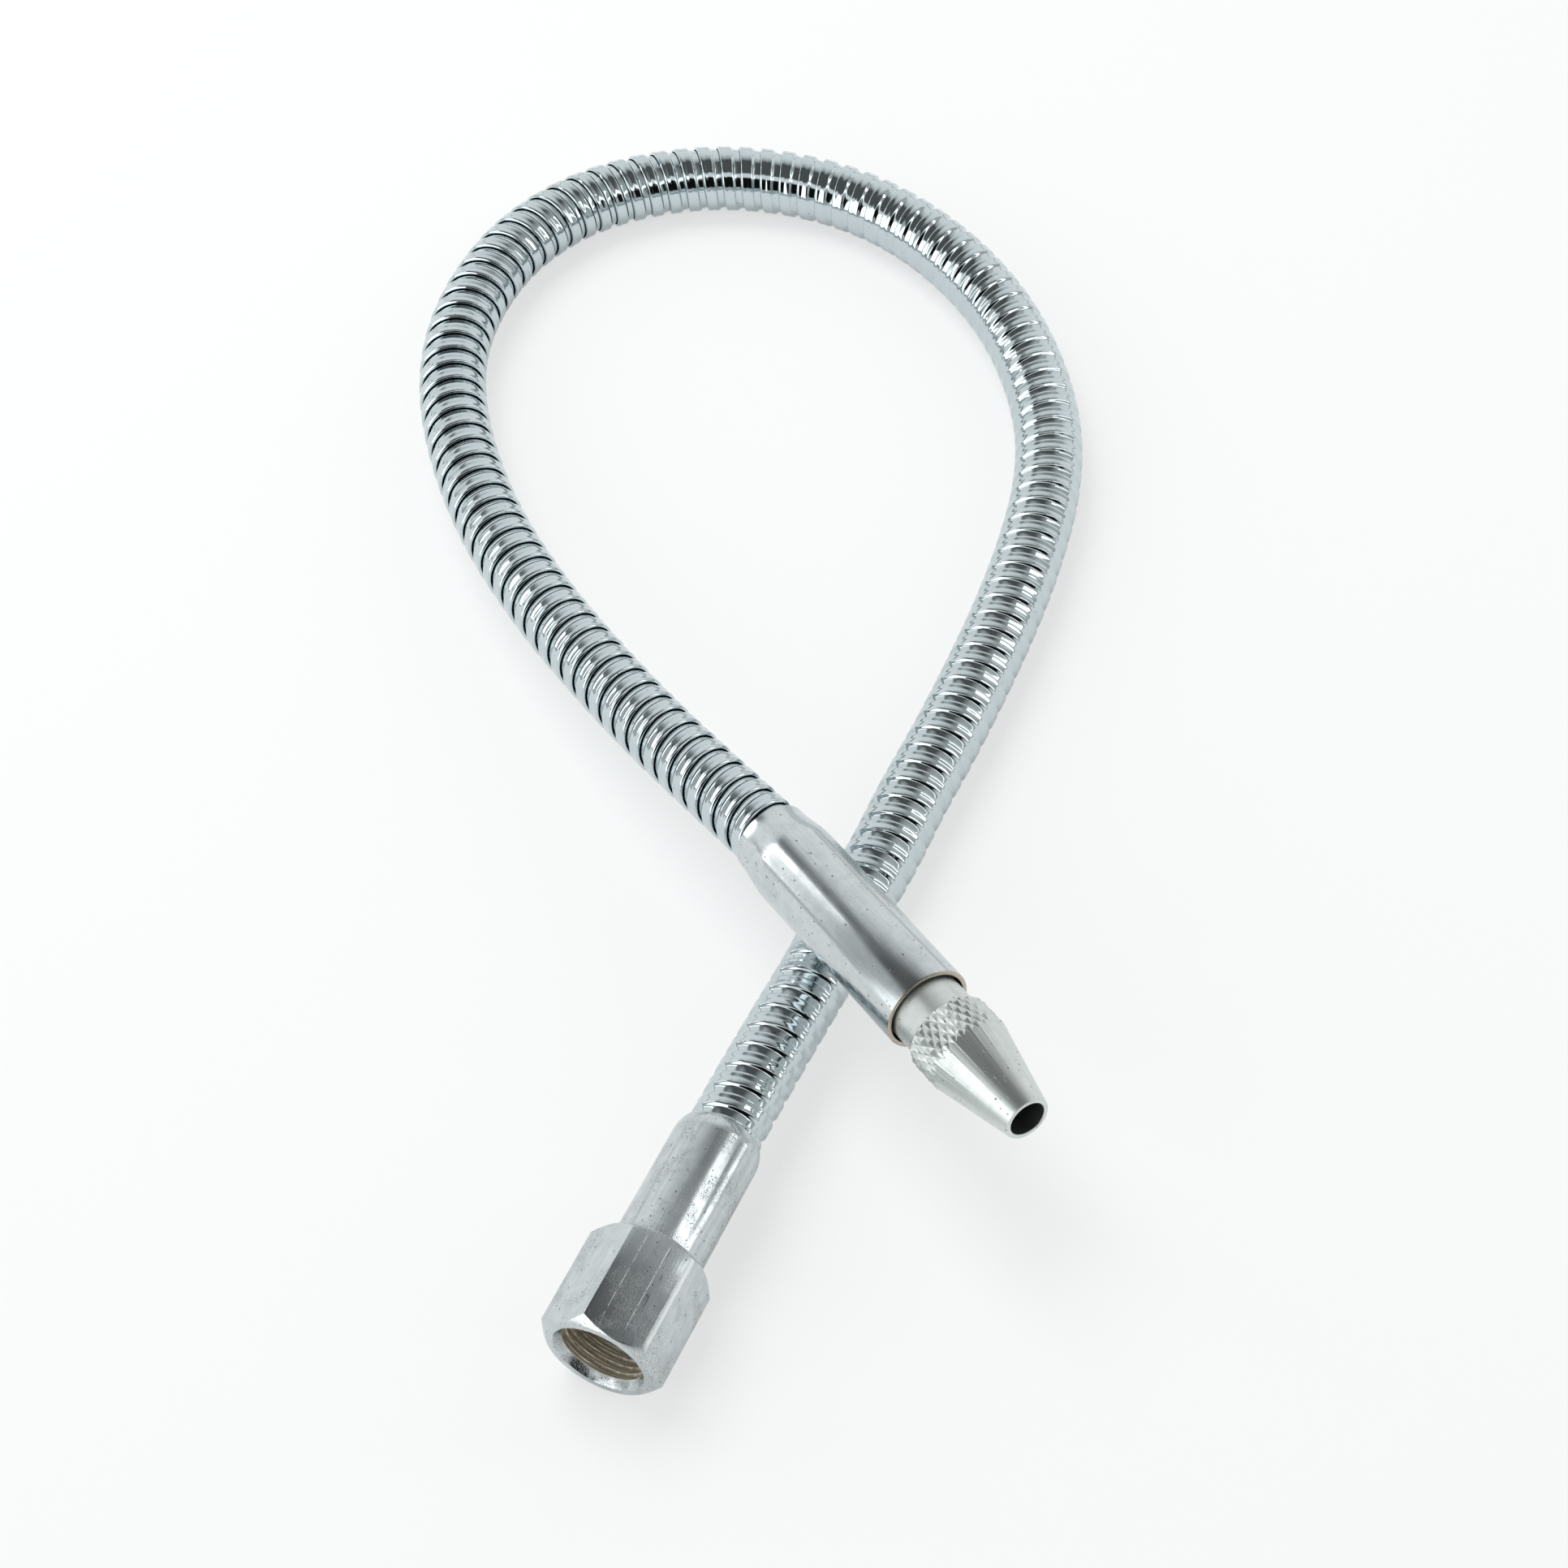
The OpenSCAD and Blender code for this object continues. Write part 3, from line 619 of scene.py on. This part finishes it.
# The knurl is cut by a ring whose inside is a net of alternating peaks and
# hollows, joined across so that each hollow leaves one diamond point.
ROW, ROWS = 1.44, 6
RING_START = NECK_END - 0.6
bpy.ops.object.select_all(action="DESELECT")
bpy.ops.mesh.primitive_circle_add(
    vertices=2 * KNURLS, radius=KNURL_ROOT * MM, location=(0, 0, RING_START * MM))
wheel = bpy.context.object
bpy.ops.object.transform_apply(location=True, rotation=True, scale=True)
bpy.ops.object.mode_set(mode="EDIT")
for row in range(ROWS):
    bpy.ops.mesh.extrude_edges_move(TRANSFORM_OT_translate={"value": (0, 0, ROW * MM)})
bpy.ops.object.mode_set(mode="OBJECT")
bpy.ops.object.mode_set(mode="EDIT")
bpy.ops.mesh.select_all(action="DESELECT")
bpy.ops.mesh.select_mode(type="VERT")
bpy.ops.object.mode_set(mode="OBJECT")
for vertex in wheel.data.vertices:
    column = round(vertex.co.xy.angle_signed(Vector((0, 1))) / tau * 2 * KNURLS)
    row = round((vertex.co.z / MM - RING_START) / ROW)
    if (column + row) % 2:
        vertex.co.xy *= (KNURL_R + 0.05) / KNURL_ROOT
    else:
        vertex.select = True
bpy.ops.object.mode_set(mode="EDIT")
bpy.ops.mesh.vert_connect()
bpy.ops.mesh.select_all(action="DESELECT")
bpy.ops.mesh.select_non_manifold()
bpy.ops.object.mode_set(mode="OBJECT")
top = [v.select and v.co.z > (NECK_END + 2) * MM for v in wheel.data.vertices]
bpy.ops.object.mode_set(mode="EDIT")
bpy.ops.mesh.select_all(action="DESELECT")
bpy.ops.object.mode_set(mode="OBJECT")
for edge in wheel.data.edges:
    edge.select = all(top[i] for i in edge.vertices)
for vertex, is_top in zip(wheel.data.vertices, top):
    vertex.select = is_top
bpy.ops.object.mode_set(mode="EDIT")
bpy.ops.mesh.select_mode(type="EDGE")
bpy.ops.mesh.extrude_edges_move(TRANSFORM_OT_translate={"value": (0, 0, 0)})
bpy.ops.transform.resize(value=(1.25, 1.25, 1))
bpy.ops.mesh.extrude_edges_move(TRANSFORM_OT_translate={"value": (0, 0, -ROWS * ROW * MM)})
bpy.ops.mesh.select_all(action="DESELECT")
bpy.ops.mesh.select_non_manifold()
bpy.ops.mesh.bridge_edge_loops()
bpy.ops.object.mode_set(mode="OBJECT")
face_out(wheel)
combine(nozzle, wheel, "DIFFERENCE")
set_in_place(nozzle, outlet_place, 32)
zinc, tree, shader = new_finish("satin_zinc", Metallic=1.0)
wear, here, radius, along = plating(
    tree, shader, outlet_place, (0.3, 0.3, 5.5), 0.000035, Bright=(0.75, 0.78, 0.76, 1),
    Dull=(0.64, 0.68, 0.66, 1), Stain=(0.12, 0.12, 0.11, 1), Stains=0.12, Grain=0.55)
# Painted shade: the jet's bore is painted dark grey inside.
painted_shade_in_jet = between(tree, radius, JET_R + 0.12, JET_R + 0.02)
feed(tree, shader, Base_Color=blended(tree, painted_shade_in_jet, wear.outputs["Color"], (0.34, 0.36, 0.35, 1)),
     Roughness=reckon(tree, "ADD", wear.outputs["Roughness"], 0.2))
nozzle.data.materials.append(zinc)
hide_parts("nozzle")
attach(nozzle, "nozzle")

# --- Floor and light --------------------------------------------------------
# A white table in a room with a light far wall, a dim ceiling and a black stand
# under the camera. A softbox stands on each side.
FLOOR_Z = -0.0112
TOWARDS_CAMERA, TO_THE_RIGHT = (0.422, -0.9065, 0), (0.9065, 0.422, 0)
bpy.ops.object.select_all(action="DESELECT")
bpy.ops.mesh.primitive_plane_add(size=8, location=(0, 0.1, FLOOR_Z))
floor = bpy.context.object
floor.name = "table"
table_white = bpy.data.materials.new("table_white")
table_white.use_nodes = True
tree = table_white.node_tree
tree.nodes.clear()
ray = wire(tree, "LightPath").outputs
matt = wire(tree, "BsdfDiffuse", {"Color": (0.88, 0.895, 0.895, 1)})
glow = wire(tree, "Emission", {"Color": (0.98, 0.985, 0.985, 1), "Strength": 1.0})
mirrored = reckon(tree, "MAXIMUM", ray["Is Glossy Ray"], ray["Is Transmission Ray"])
seen = reckon(tree, "MAXIMUM", product(tree, ray["Is Camera Ray"], 0.62), product(tree, mirrored, 0.3))
surface = wire(tree, "MixShader", {0: seen, 1: matt.outputs[0], 2: glow.outputs[0]})
wire(tree, "OutputMaterial", {"Surface": surface.outputs[0]})
floor.data.materials.append(table_white)

scene = bpy.context.scene
scene.view_settings.view_transform = "Standard"
studio = bpy.data.worlds.new("studio")
scene.world = studio
studio.use_nodes = True
tree = studio.node_tree
tree.nodes.clear()
direction = wire(tree, "TexCoord").outputs["Generated"]
forward = measured(tree, direction, TOWARDS_CAMERA)
sideways = measured(tree, direction, TO_THE_RIGHT)
upward = wire(tree, "SeparateXYZ", {0: direction}).outputs["Z"]
tilt = reckon(tree, "DIVIDE", reckon(tree, "ARCTAN2", upward, forward), pi)


def zone(tree, walls, colour, *masks):
    """Lays a colour over the walls where all its masks are 1."""
    return blended(tree, product(tree, *masks), walls, colour)


# Degrees up from the camera's side, over its black stand, a light strip and
# the dim ceiling, to the far wall.
room = wire(tree, "ValToRGB", {0: tilt})
room.color_ramp.elements.remove(room.color_ramp.elements[0])
for degrees, level in ((8, 0.60), (12, 0.006), (47, 0.006), (50, 0.9), (61, 0.9), (66, 0.10),
                       (113, 0.10), (125, 0.55), (140, 0.88), (180, 0.86)):
    stop = room.color_ramp.elements.new(degrees / 180)
    stop.color = (level, level * 1.03, level * 1.04, 1)
room.color_ramp.elements.remove(room.color_ramp.elements[-1])
LAMP_WHITE = (1.9, 1.95, 1.96, 1)
# A window high on the right, and pale side walls.
walls = zone(tree, room.outputs[0], (0.42, 0.435, 0.44, 1),
             between(tree, sideways, 0.2, 0.62), between(tree, upward, 0.55, 0.65))
to_side = reckon(tree, "ABSOLUTE", sideways)
walls = zone(tree, walls, (0.5, 0.52, 0.525, 1),
             between(tree, to_side, 0.62, 0.76), between(tree, forward, -0.45, -0.35))
# A grey screen behind the left softbox, and a bright panel beside it.
walls = zone(tree, walls, (0.2, 0.21, 0.215, 1), between(tree, sideways, -0.66, -0.60),
             between(tree, sideways, -0.26, -0.52), between(tree, forward, -0.25, -0.38),
             between(tree, upward, 0.5, 0.62))
walls = zone(tree, walls, LAMP_WHITE, between(tree, sideways, -0.38, -0.43),
             between(tree, forward, 0.08, 0.22), between(tree, upward, 0.72, 0.64))
# A row of lamps over the camera on the right, and the table's dark far edge.
walls = zone(tree, walls, LAMP_WHITE,
             near(tree, tilt, 0.303, 0.042, 0.03), between(tree, sideways, 0.28, 0.38))
walls = zone(tree, walls, (0.06, 0.065, 0.065, 1), near(tree, upward, 0.012, 0.03, 0.012),
             between(tree, forward, -0.2, -0.35), 0.8)
lit = wire(tree, "Background", {"Color": walls, "Strength": 1.0})
white = wire(tree, "Background", {"Color": (1, 1, 1, 1), "Strength": 1.0})
to_camera = wire(tree, "LightPath").outputs["Is Camera Ray"]
backdrop = wire(tree, "MixShader", {0: to_camera, 1: lit.outputs[0], 2: white.outputs[0]})
wire(tree, "OutputWorld", {"Surface": backdrop.outputs[0]})

AIM, SOFTBOX_AWAY = Vector((-0.03, 0.13, 0)), 0.85
for name, direction, lean, width, length, power in (
        ("left_softbox", (-0.875, -0.29, 0.373), 30, 0.13, 0.62, 0.6),
        ("right_softbox", (0.88, -0.139, 0.454), -18, 0.13, 0.75, 0.65)):
    side, front, up = direction
    towards = side * Vector(TO_THE_RIGHT) + front * Vector(TOWARDS_CAMERA) + Vector((0, 0, up))
    softbox_data = bpy.data.lights.new(name, "AREA")
    softbox_data.shape, softbox_data.size, softbox_data.size_y = "RECTANGLE", width, length
    softbox_data.energy = power
    softbox = bpy.data.objects.new(name, softbox_data)
    softbox.location = AIM + towards.normalized() * SOFTBOX_AWAY
    facing = towards.to_track_quat("Z", "Y") @ Quaternion((0, 0, 1), radians(lean))
    softbox.rotation_euler = facing.to_euler()
    softbox.visible_camera = False
    bpy.context.collection.objects.link(softbox)

fill_data = bpy.data.lights.new("fill", "AREA")
fill_data.size, fill_data.energy = 0.8, 9.0
fill = bpy.data.objects.new("fill", fill_data)
fill.location = (-0.55, 0.3, 1.1)
fill.rotation_euler = (fill.location - AIM).to_track_quat("Z", "Y").to_euler()
fill.visible_camera = fill.visible_glossy = False
bpy.context.collection.objects.link(fill)
